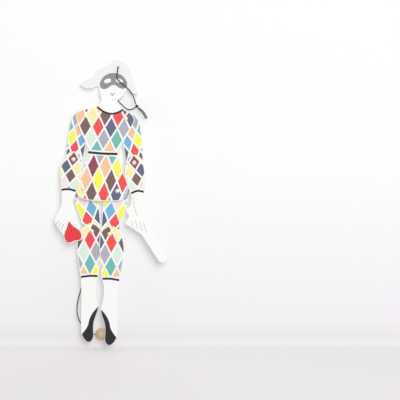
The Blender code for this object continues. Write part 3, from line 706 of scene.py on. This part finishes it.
class PUPPET_OT_stage(bpy.types.Operator):
    """Camera, lamps, floor and backdrop"""

    bl_idname = "puppet.stage"
    bl_label = "Stage"

    def execute(self, context):
        stage = context.scene.puppet_stage
        context.scene.view_settings.view_transform = "Standard"
        self.viewer(context, stage)
        for name, (place, size, power) in LAMPS.items():
            self.lamp(name, Vector(stage.aim), Vector(place), size, power)
        self.sky(context)
        self.ground(stage)
        return {"FINISHED"}

    def viewer(self, context, stage):
        """The camera, level and square to the boards."""
        camera = bpy.data.cameras.new("camera")
        camera.sensor_width = 36
        camera.lens = camera.sensor_width * stage.distance / stage.picture
        viewer = put("camera", camera)
        viewer.location = Vector(stage.aim) - Vector((0, stage.distance, 0))
        viewer.rotation_euler = (math.pi / 2, 0, 0)
        context.scene.camera = viewer

    def lamp(self, name, aim, place, size, power):
        """A soft box that faces the camera's aim."""
        light = bpy.data.lights.new(name, "AREA")
        light.size = size
        light.energy = power
        lamp = put(name, light)
        lamp.location = aim + place
        lamp.rotation_euler = place.to_track_quat("Z", "Y").to_euler()

    def sky(self, context):
        """An even white room, which is plain white where it shows as the background."""
        world = bpy.data.worlds.new("studio")
        world.use_nodes = True
        tree = world.node_tree
        sky = tree.nodes["Background"]
        span = {"Value": background_rays(tree), "To Min": SKY_LEVEL, "To Max": 1.0}
        level = add(tree, "ShaderNodeMapRange", span)
        plug(tree, sky, {"Color": (1, 1, 1, 1), "Strength": level.outputs["Result"]})
        context.scene.world = world

    def ground(self, stage):
        """A sheet that sweeps up behind the puppet and leans to its head."""
        bm = bmesh.new()
        run = [(-SHEET_FRONT, FLOOR)]
        for i in range(SHEET_STEPS + 1):
            a = math.pi / 2 * i / SHEET_STEPS
            y = stage.wall - SHEET_BEND + SHEET_BEND * math.sin(a)
            run.append((y, FLOOR + SHEET_BEND - SHEET_BEND * math.cos(a)))
        run.append((stage.wall - stage.lean * SHEET_HIGH, FLOOR + SHEET_HIGH))
        line = [bm.verts.new((-SHEET_SIDE, y, z - SHEET_SINK)) for y, z in run]
        edges = [bm.edges.new(pair) for pair in zip(line, line[1:])]
        drawn = bmesh.ops.extrude_edge_only(bm, edges=edges)["geom"]
        corners = [v for v in drawn if isinstance(v, bmesh.types.BMVert)]
        bmesh.ops.translate(bm, vec=(2 * SHEET_SIDE, 0, 0), verts=corners)
        bmesh.ops.recalc_face_normals(bm, faces=bm.faces)
        if sum(f.normal.z for f in bm.faces) < 0:
            bmesh.ops.reverse_faces(bm, faces=bm.faces)
        mesh = smooth_mesh("ground", bm)
        mesh.materials.append(self.paper(stage))
        put("ground", mesh)

    def paper(self, stage):
        """Matt backdrop paper whose tones are painted shade: pale grey where it leaves the floor,
        whiter upwards.
        """
        material, tree, shader = new_material("backdrop_paper")
        coord = add(tree, "ShaderNodeTexCoord").outputs["Object"]
        rise = add(tree, "ShaderNodeSeparateXYZ", {"Vector": coord}).outputs["Z"]
        span = {"Value": rise, "From Min": FLOOR, "From Max": FLOOR + TOP_RISE}
        level = add(tree, "ShaderNodeMapRange", span)
        fade = add(tree, "ShaderNodeValToRGB", {"Fac": level.outputs["Result"]})
        stops = fade.color_ramp.elements
        stops[0].color, stops[1].color = colour(stage.ground), colour(stage.backdrop)
        # The foot's grey and the calves' tone are painted shade; the floor keeps its own even tone.
        for height in FOOT_SHADE_RISE:
            stops.new(height / TOP_RISE).color = colour(stage.foot)
        stops.new(CALF_SHADE_RISE / TOP_RISE).color = colour(stage.middle)
        plug(tree, shader, {"Base Color": fade.outputs["Color"], "Roughness": 0.9})
        # Only rays that show the background meet the sheet, and only on its front. Light passes it.
        behind = add(tree, "ShaderNodeNewGeometry").outputs["Backfacing"]
        front = add(tree, "ShaderNodeMath", {0: 1.0, 1: behind}, operation="SUBTRACT")
        both = {0: front.outputs[0], 1: background_rays(tree)}
        shown = add(tree, "ShaderNodeMath", both, operation="MULTIPLY")
        clear = add(tree, "ShaderNodeBsdfTransparent")
        sides = {0: shown.outputs[0], 1: clear.outputs[0], 2: shader.outputs[0]}
        either = add(tree, "ShaderNodeMixShader", sides)
        plug(tree, tree.nodes["Material Output"], {"Surface": either.outputs[0]})
        return material


class PUPPET_OT_cords(bpy.types.Operator):
    """Hanging loop, pull cord, links and knots"""

    bl_idname = "puppet.cords"
    bl_label = "Cords"

    def execute(self, context):
        width = context.scene.puppet_fittings.cord_width
        self.loop(width)
        for limb, board in (("arm", "upper_arm"), ("leg", "thigh")):
            tied_knot(f"{limb}_link_knot", "pull")
            for side in ("left", "right"):
                tied_knot(f"{side}_{limb}_tie_knot", f"{side}_{board}")
                self.link(side, limb, board)
        self.pull(width)
        return {"FINISHED"}

    def loop(self, width):
        """The slack loop through the hat: a strand each side of the head, a knot, two ends."""
        near, far = LOOP_DEPTH, -LOOP_DEPTH
        front = [
            (0, -LOOP_START, 0), (0, -1.25, 0), (-0.1, near - 1.2, -1.2), (-0.4, near - 1.6, -4.2),
            (-1.1, near - 1.1, -10.4), (-0.9, near - 0.8, -14.0), (1.4, near - 0.5, -17.0),
            (5.0, near, -20.4), (9.7, near, -24.2), (15.9, near, -30.8), (18.7, near, -35.5),
            (20.5, near, -40.5), (22.2, near, -45.8),
        ]
        rear = [
            (0, LOOP_START, 0), (0, 1.25, 0), (0, far + 1.2, -1.2), (0, far + 1.6, -4.2),
            (0, far + 0.8, -12.0), (-0.4, far, -24.0), (-0.8, far, -36.0), (0.4, far, -41.6),
            (4.6, far - 0.8, -46.2), (9.3, 0.2, -50.7), (14.9, near + 1.0, -52.6),
            (19.4, near, -51.2), (21.3, near, -49.9),
        ]
        strand, strand_length = cord_curve("loop_front", front, "body", ["hanging_strand_front"])
        behind, behind_length = cord_curve("loop_rear", rear, "body", ["hanging_strand_rear"])
        loose = [tied_knot("hanging_knot", "body")]
        along, beside, bow = Vector((0.62, 0, -0.78)), Vector((0.66, 0, 0.53)), Vector((1, 0, 0.8))
        for name, offset, reach in (("upper", beside, 17.5), ("lower", -beside, 16.5)):
            root = centre("hanging_knot") / MM + offset + along * 2.6
            route = [root, root + along * reach / 2 + bow, root + along * reach]
            node = f"hanging_{name}_end"
            loose.append(cord_curve(f"loop_{name}_end", route, "body", [node])[0])

    def link(self, side, limb, board):
        """From its tie back through a limb's hole, then over to the knot behind the body."""
        tie, middle = centre(f"{side}_{limb}_tie_knot") / MM, centre(f"{limb}_link_knot") / MM
        hole = tie.x - (TIE_SHIFT if limb == "arm" else 0.0)
        front, back = (corner[1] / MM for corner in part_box(f"{side}_{board}"))
        stop = middle.x - math.copysign(KNOT_HOLD, middle.x - tie.x)
        route = [(hole, y, tie.z) for y in (front, (front + back) / 2, back + 0.3)]
        for across, left, gained in LINK_RUN:
            x = tie.x + (stop - tie.x) * across
            y = back + (middle.y - back) * gained
            route.append((x, y, middle.z + (tie.z - middle.z) * left))
        cord_curve(f"{side}_{limb}_link_braid", route, "pull", [f"{side}_{limb}_link"])

    def pull(self, width):
        """The cord between the links, and the slack one that bows behind a leg to the bead."""
        nodes = ("arm_link_knot", "leg_link_knot", "pull_bead")
        top, bottom, bead = (centre(name) / MM for name in nodes)
        gap = (bottom - top).normalized() * KNOT_HOLD
        short = [top + gap, (top + bottom) / 2, bottom - gap]
        cord_curve("upper_pull_braid", short, "pull", ["upper_pull_cord"])
        start = bottom - Vector((0, 0, KNOT_HOLD))
        drop = [
            (-26.8, -165.5), (-30.2, -178.0), (-33.4, -200.0), (-35.8, -221.0), (-39.0, -242.0),
            (-43.4, -262.0), (-48.0, -278.5), (-51.3, -291.5), (-52.6, -302.0), (-51.4, -312.0),
            (-47.6, -320.2), (-42.4, -326.2),
        ]
        route = [start, *((x, start.y, z) for x, z in drop)]
        route.append((-36.8, (start.y + bead.y) / 2, -330.6))
        route += [(bead.x - 9.3, bead.y, bead.z), bead, (bead.x + 7.8, bead.y, bead.z)]
        cord, length = cord_curve("pull_braid", route, "pull", ["pull_cord"])
        ends = [tied_knot("pull_bead_knot", "pull"), bpy.data.objects["turned_bead"]]


class PUPPET_OT_boards(bpy.types.Operator):
    """Body and limb boards with their printed cloths"""

    bl_idname = "puppet.boards"
    bl_label = "Boards"

    def execute(self, context):
        inks = context.scene.puppet_print
        white, shoe = painted_wood("white_enamel", inks.paint), ink("shoe_ink", inks.black)
        cloths = [motley("body_board", "chest", COLLAR), motley("body_board", "skirt")]
        self.board("body_board", [white, *cloths], [NECK_LINE, *BELT_LINES])
        for board in LIMBS:
            part = board.split("_", 1)[1]
            line = EDGE_LINES.get(board, EDGE_LINES.get(part))
            finishes = [white, motley(board, part)]
            if part == "lower_leg":
                finishes.append(shoe)
            self.board(board, finishes, [line] if line else [])
        return {"FINISHED"}

    def board(self, board, finishes, lines):
        """A board, printed on its front within its rim; a shoe's ink runs over the eased edge."""
        bm, printed, place = cut_board(board, lines)
        drawing = place.inverted()
        for face in bm.faces:
            x, _, z = (drawing @ face.calc_center_median()) / MM
            if face[printed]:
                if face.normal.y < FACING:
                    face.material_index = self.cloth_at(board, lines, z)
            elif board.endswith("lower_leg") and EASED[0] < face.normal.y < EASED[1]:
                if self.on_shoe(x, z):
                    face.material_index = 2
        piece = add_piece(f"{board}_printed", bm, body_of(board), finishes)
        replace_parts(piece, board)

    def cloth_at(self, board, lines, z):
        """Index of a height's finish: a limb has one cloth, and the body two, parted by a belt."""
        if board == "body_board":
            return 1 if NECK_LINE > z > BELT_LINES[0] else 2 if z < BELT_LINES[1] else 0
        return 1 if not lines or (z > lines[0]) != board.endswith("upper_arm") else 0

    def on_shoe(self, x, z):
        """True below the line from a shoe's top to its heel point."""
        (top_x, top_z), (heel_x, heel_z) = SHOE_LINE
        return (heel_x - top_x) * (z - top_z) > (heel_z - top_z) * (x - top_x)


class PUPPET_OT_print(bpy.types.Operator):
    """Hat, mask, mouth, belt, bands, shoes, pouch and the lines of the hands"""

    bl_idname = "puppet.print"
    bl_label = "Print"

    def execute(self, context):
        inks = context.scene.puppet_print
        black = ink("black_ink", inks.black)
        collar = [
            (-10.6, 102.6), (-5, 98.6), (1.5, 96.0), (7.5, 95.3), (13.5, 96.8), (18.5, 99.4),
            (21.3, 101.6),
        ]
        belt = [(-18.4, 45.6), (0, 45.2), (18.4, 46.0)]
        bands = [stripe(collar, COLLAR_BAND), stripe(belt, BELT_BAND)]
        ink_film("collar_and_belt", "body_board", bands, black)
        self.hat(inks)
        self.face(inks)
        lines = {"left": ink("line_ink", inks.pencil), "right": ink("faint_line_ink", inks.faint)}
        for side in ("left", "right"):
            self.hand(side, black, lines[side])
            self.leg(side, black)
        pouch = [
            (6.3, -76.5, "corner"), (4.6, -86), (3.2, -93.8), (5.6, -100), (9.9, -102.8),
            (17.2, -99.3), (23.2, -97.1), (24.5, -92.6), (20.7, -86), (13.2, -82.4),
        ]
        ink_film("pouch_print", "left_forearm", [pouch], ink("pouch_ink", inks.pouch))
        return {"FINISHED"}

    def set_at(self, points, place, tilt=0.0):
        """An outline moved to its place on the drawing and tilted by so many degrees."""
        c, s = math.cos(math.radians(tilt)), math.sin(math.radians(tilt))
        x, z = place
        return [(x + p[0] * c - p[1] * s, z + p[0] * s + p[1] * c, *p[2:]) for p in points]

    def face(self, inks):
        """A plain domino mask over the hat's tone and a small calm mouth, even on both sides."""
        half = [
            (9.0, 7.6), (15.2, 1.2), (17.0, -4.2), (15.4, -8.4), (11.6, -10.0), (7.4, -8.8),
            (3.6, -6.2),
        ]
        mask = [(0, 9.8), *half, (0, -5.0), *((-x, z) for x, z in reversed(half))]
        eye = [(2.8, 1.0), (6.4, 2.9), (11.6, -1.2), (7.0, -2.4)]
        other_eye = [(-x, z) for x, z in eye]
        upper = [
            (-4.2, 0.6, "corner"), (-1.4, 1.3), (0, 0.9), (1.4, 1.3), (4.2, 0.6, "corner"),
            (0, 0.35),
        ]
        lower = [(-2.4, -0.4, "corner"), (0, -0.6), (2.4, -0.4, "corner"), (0, -1.9)]
        outlines = [self.set_at(points, MASK_AT, FACE_TILT) for points in (mask, eye, other_eye)]
        # The mask is black print drawn grey: painted glare.
        ink_film("mask", "body_board", outlines, ink("mask_ink_with_painted_glare", inks.mask), layer=2)
        lips = [self.set_at(points, MOUTH_AT, FACE_TILT) for points in (upper, lower)]
        ink_film("mouth", "body_board", lips, ink("lip_ink", inks.lips))

    def hat(self, inks):
        """The hat's tone ends under the mask, above its eyes, and leaves the hanging hole free."""
        over = [
            (-44.2, -25.0, "corner"), (-40.2, -19.1), (-30.7, -14.0), (-25.6, -5.8), (-20.0, -2.7),
            (-11.9, 2.2), (-6.8, 7.4), (-0.2, 9.7), (3.6, 6.9), (11.4, 3.2), (15.5, -0.8),
            (17.3, -9.0), (20.8, -16.8), (25.0, -27.6), (25.7, -30.1, "corner"), (21.3, -29.8),
            (13.9, -24.6, "corner"),
        ]
        under = [
            (16.0, -4.6, "corner"), (14.0, 0.6), (9.0, 5.0), (0, 7.0), (-9.0, 5.0), (-14.0, 0.6),
            (-16.0, -4.6, "corner"),
        ]
        brim = [(-23.0, -23.6, "corner"), (-25.1, -24.0), (-31.2, -27.1), (-38.7, -27.1)]
        turns = [math.pi * i / 4 for i in range(8)]
        hole = [(HOLE_BARE * math.cos(a), HOLE_BARE * math.sin(a)) for a in turns]
        over, brim, hole = (self.set_at(points, HOLE_AT) for points in (over, brim, hole))
        outline = over + self.set_at(under, MASK_AT, FACE_TILT) + brim
        ink_film("hat_print", "body_board", [outline, hole], ink("hat_ink", inks.hat))

    def hand(self, side, black, line):
        """A cuff's band and plain lines: fingers on both hands, and the wrist of the fist."""
        cuffs = {
            "left": [(-8.8, -39.6), (-1, -37.6), (8.9, -38.2)],
            "right": [(8.2, -37.2), (0.15, -35.2), (-7.6, -37.2)],
        }
        folds = {
            "left": [
                [(-6.2, -78.5), (-9, -84)], [(-3.2, -80), (-5.4, -87)], [(0.4, -81), (-1.6, -89)],
            ],
            "right": [
                [(7.6, -41.4), (6.6, -50), (5.6, -58), (3.8, -66)], [(11.8, -71.5), (11, -79)],
                [(6.9, -70.5), (5.8, -82)], [(1.8, -72), (0.4, -85)], [(-2.6, -75.5), (-4.7, -87)],
            ],
        }
        board = f"{side}_forearm"
        ink_film(f"{side}_cuff", board, [stripe(cuffs[side], CUFF_BAND)], black)
        drawn = [stripe(points, HAND_LINE) for points in folds[side]]
        ink_film(f"{side}_hand_lines", board, drawn, line)

    def leg(self, side, black):
        """The band below the knee and the shoe."""
        band = stripe([(-13.6, -57.0), (-3, -55.6), (7.2, -55.8)], CUFF_BAND)
        shoe = [
            (7.7, -93.8, "corner"), (3.5, -98.7), (0.1, -103.3), (-2.5, -108.4), (-3.7, -112.1),
            (-4.7, -116.6), (-6.2, -119.9), (-8.6, -123.5), (-12.5, -128.4, "corner"),
            (-8.6, -135.1), (-4.1, -138.1), (-0.9, -136.6), (1.1, -133.1), (1.7, -129.0),
            (1.5, -123.5), (1.6, -117.5), (2.1, -113.5), (3.6, -108.2), (5.5, -102.9), (7.1, -97.9),
        ]
        ink_film(f"{side}_shoe_and_band", f"{side}_lower_leg", [band, shoe], black)


class PUPPET_OT_rivets(bpy.types.Operator):
    """Domed brass rivets, their caps and the bushes between boards"""

    bl_idname = "puppet.rivets"
    bl_label = "Rivets"

    def execute(self, context):
        brass = polished_brass()
        for side in ("left", "right"):
            for joint in ("shoulder", "elbow", "hip", "knee"):
                self.rivet(f"{side}_{joint}_rivet", self.holder(side, joint), brass)
            for bush in ("shoulder_washer", "elbow_spacer", "hip_spacer"):
                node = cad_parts[f"{side}_{bush}"]
                node.data.materials.clear()
                node.data.materials.append(brass)
        return {"FINISHED"}

    def holder(self, side, joint):
        """The body that a joint's rivet is fixed to."""
        return {"elbow": f"{side}_upper_arm", "knee": f"{side}_thigh"}.get(joint, "body")

    def seat(self, middle, front):
        """Matrix that stands a profile on the given y, with its axis to the back."""
        at = Matrix.Translation((middle.x, front, middle.z))
        return at @ Matrix.Rotation(-math.pi / 2, 4, "X")

    def rivet(self, name, body, brass):
        """A rivet with a domed head and a slim shank, and the cap that is pressed on behind."""
        low, high = corners_of(name)
        middle = (low + high) / 2
        radius, length = (high.x - low.x) / 2, high.y - low.y
        shank, rim, dome = radius * 0.64, radius * 0.16, radius * 0.42
        arc = [math.pi / 2 * i / 8 for i in range(9)]
        pin = [(radius * math.sin(a), dome - dome * math.cos(a)) for a in arc]
        pin += [(radius * 0.97, dome + rim), (shank, dome + rim), (shank, length), (0, length)]
        seat = self.seat(middle, low.y)
        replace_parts(turned_piece(f"{name}_domed", pin, seat, body, brass), name)
        cap = f"{name}_cap"
        low, high = corners_of(cap)
        bore, thick = shank * 1.07, high.y - low.y
        ring = [
            (bore, 0), (radius * 0.94, 0), (radius, rim * 0.5), (radius, thick * 0.45),
            (radius * 0.9, thick * 0.75), (radius * 0.76, thick), (bore, thick),
        ]
        seat = self.seat(middle, low.y)
        piece = turned_piece(f"{cap}_pressed", ring, seat, body, brass, closed=True)
        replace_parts(piece, cap)


class PUPPET_OT_bead(bpy.types.Operator):
    """Turned wooden bead on the pull cord"""

    bl_idname = "puppet.bead"
    bl_label = "Bead"

    def execute(self, context):
        low, high = corners_of("pull_bead")
        radius = (high.z - low.z) / 2
        bore, mouth, funnel = 1.5 * MM, 0.5 * MM, 0.4 * MM  # the bore widens at its two mouths
        start = math.asin((bore + mouth) / radius)
        arc = [start + (math.pi - 2 * start) * i / 24 for i in range(25)]
        profile = [(radius * math.sin(a), -radius * math.cos(a)) for a in arc]
        reach = radius * math.cos(start) - funnel
        profile += [(bore, reach), (bore, -reach)]
        place = Matrix.Translation((low + high) / 2) @ Matrix.Rotation(math.pi / 2, 4, "Y")
        wood = turned_beech()
        bead = turned_piece("turned_bead", profile, place, "pull", wood, closed=True)
        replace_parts(bead, "pull_bead")
        return {"FINISHED"}


class PUPPET_PT_panel(bpy.types.Panel):
    """Buttons for the pieces of the puppet"""

    bl_label = "Puppet"
    bl_idname = "PUPPET_PT_panel"
    bl_space_type = "VIEW_3D"
    bl_region_type = "UI"
    bl_category = "Puppet"

    def draw(self, context):
        for step in STEPS:
            self.layout.operator(step.bl_idname)


STEPS = (
    PUPPET_OT_stage, PUPPET_OT_bead, PUPPET_OT_cords,
    PUPPET_OT_boards, PUPPET_OT_print, PUPPET_OT_rivets,
)
GROUPS = {
    "puppet_print": PuppetPrint,
    "puppet_fittings": PuppetFittings,
    "puppet_stage": PuppetStage,
}


def register():
    for cls in (*GROUPS.values(), *STEPS, PUPPET_PT_panel):
        bpy.utils.register_class(cls)
    for name, group in GROUPS.items():
        setattr(bpy.types.Scene, name, PointerProperty(type=group))


def unregister():
    for name in GROUPS:
        delattr(bpy.types.Scene, name)
    for cls in (PUPPET_PT_panel, *reversed(STEPS), *GROUPS.values()):
        bpy.utils.unregister_class(cls)


def main():
    """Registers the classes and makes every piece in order."""
    register()
    for step in STEPS:
        group, name = step.bl_idname.split(".")
        getattr(getattr(bpy.ops, group), name)()


if __name__ == "__main__":
    main()
